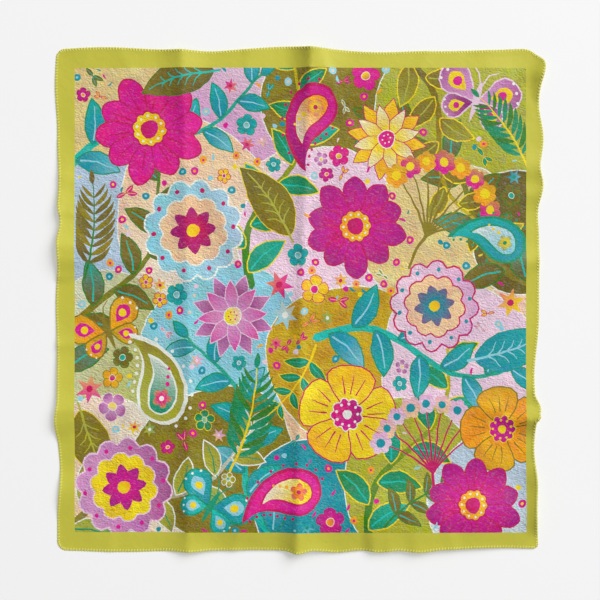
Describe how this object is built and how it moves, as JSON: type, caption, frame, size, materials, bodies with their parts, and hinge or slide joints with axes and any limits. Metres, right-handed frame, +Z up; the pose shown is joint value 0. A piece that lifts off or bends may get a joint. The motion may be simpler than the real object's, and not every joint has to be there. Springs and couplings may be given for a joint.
{
  "type": "silk square scarf",
  "caption": "Square printed silk scarf laid out flat, with a plain yellow-green border, a fine overlocked hem and soft fold ridges.",
  "frame": {"origin": "on the surface that the scarf lies on, under the centre of its outline's box", "axes": "+Z up off the surface, +Y from the centre to the top edge of the print, +X to its right edge as seen from above"},
  "size_m": [0.6758, 0.6982, 0.0151],
  "materials": {
    "printed_silk": "satin silk twill printed in many colours, with a plain yellow-green border",
    "hem_thread": "overlocked rolled hem in yellow-green thread"
  },
  "bodies": {
    "root": {"panel": "printed_silk", "hem_top": "hem_thread", "hem_right": "hem_thread", "hem_bottom": "hem_thread", "hem_left": "hem_thread"}
  },
  "joints": []
}
